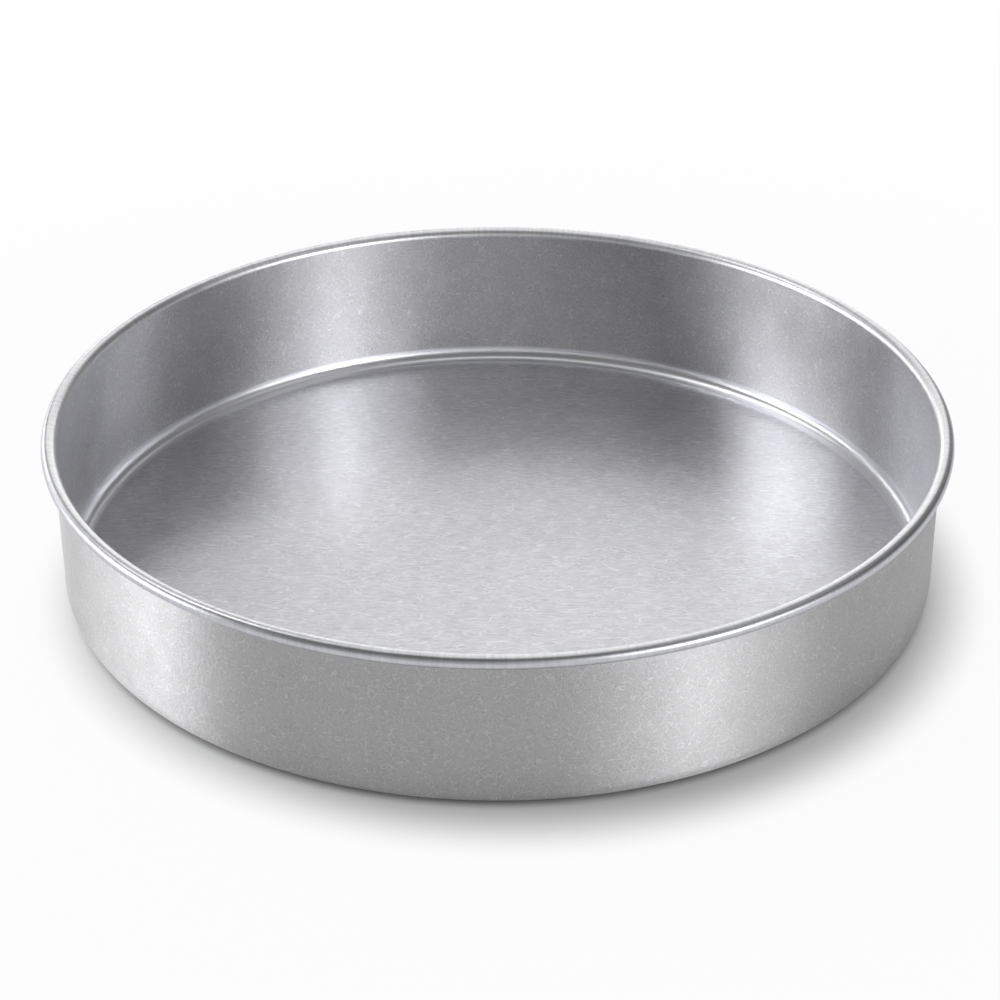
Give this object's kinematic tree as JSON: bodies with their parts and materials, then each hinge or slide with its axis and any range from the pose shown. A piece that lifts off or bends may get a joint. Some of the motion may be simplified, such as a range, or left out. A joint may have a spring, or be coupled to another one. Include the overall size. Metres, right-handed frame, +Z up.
{
  "type": "round cake tin",
  "caption": "Round straight-sided cake tin of seamless drawn aluminium, with a flat floor, a rounded base corner and a rim curled outwards over a steel hoop wire.",
  "frame": {"origin": "centre of the underside, on the plane that the tin stands on", "axes": "+Z up the axis of the tin, out of its mouth; +Y away from the viewer of the picture, where the two cut ends of the hoop wire meet; +X to the right"},
  "size_m": [0.289, 0.289, 0.0528],
  "materials": {
    "drawn_aluminium": "satin, with fine random hair scratches; polished brighter on the rim and in the base corner",
    "galvanised_wire": "dull galvanised"
  },
  "bodies": {
    "root": {"pan_shell": "drawn_aluminium", "rim_wire": "galvanised_wire"}
  },
  "joints": []
}
